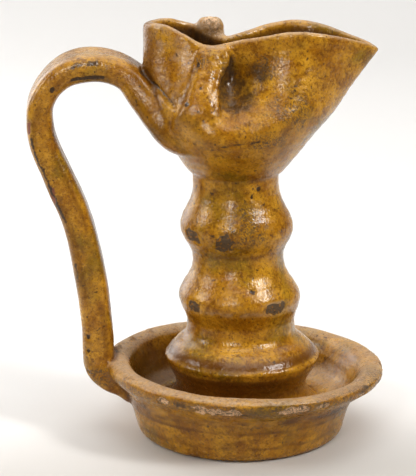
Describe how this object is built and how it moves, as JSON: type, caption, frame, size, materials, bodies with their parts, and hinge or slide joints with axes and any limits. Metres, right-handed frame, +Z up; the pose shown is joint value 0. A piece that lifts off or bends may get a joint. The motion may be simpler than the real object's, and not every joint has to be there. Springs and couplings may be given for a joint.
{
  "type": "glazed ceramic oil lamp",
  "caption": "Glazed earthenware oil lamp: pinched bowl with a wick spout on a ringed stem, a strap handle and a saucer foot that catches drips.",
  "frame": {"origin": "centre of the foot's flat underside", "axes": "+Z up along the stem, +X towards the spout, handle at -X"},
  "size_m": [0.127, 0.1002, 0.1509],
  "materials": {
    "glaze": "amber lead glaze over buff earthenware, mottled, crazed and chipped"
  },
  "bodies": {
    "root": {"oil_lamp": "glaze"}
  },
  "joints": []
}
